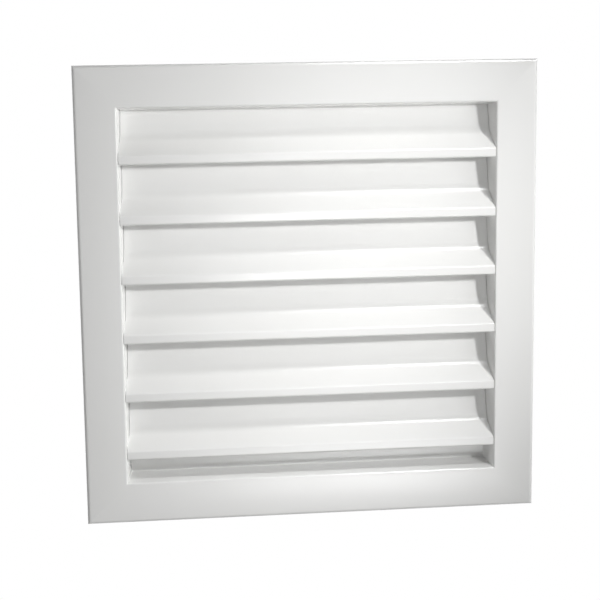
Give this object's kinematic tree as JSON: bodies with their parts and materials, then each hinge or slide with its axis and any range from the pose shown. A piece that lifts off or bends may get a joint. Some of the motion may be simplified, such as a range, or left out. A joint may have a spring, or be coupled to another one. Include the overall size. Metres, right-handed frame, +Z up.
{
  "type": "square wall louvre vent",
  "caption": "Square wall vent with a flat flange, six fixed dog-leg blades between splayed frame walls, and an insect screen behind.",
  "frame": {"origin": "centre of the louvre's opening, on the plane of the wall that the flange lies on", "axes": "-Y out of the wall towards a viewer, +Y into the wall, +Z up, +X to the right as seen from in front"},
  "size_m": [0.3682, 0.025, 0.3682],
  "materials": {
    "white_paint": "satin white paint on sheet",
    "mill_sheet": "bare mill finish",
    "screen_wire": "dull woven wire"
  },
  "bodies": {
    "root": {"head": "white_paint", "sill": "white_paint", "jamb_left": "white_paint", "jamb_right": "white_paint", "blade_1": "white_paint", "blade_2": "white_paint", "blade_3": "white_paint", "blade_4": "white_paint", "blade_5": "white_paint", "blade_6": "white_paint", "corner_cleat_1": "mill_sheet", "corner_cleat_2": "mill_sheet", "corner_cleat_3": "mill_sheet", "corner_cleat_4": "mill_sheet", "blade_rivets_left": "white_paint", "blade_rivets_right": "white_paint", "insect_screen": "screen_wire"}
  },
  "joints": []
}
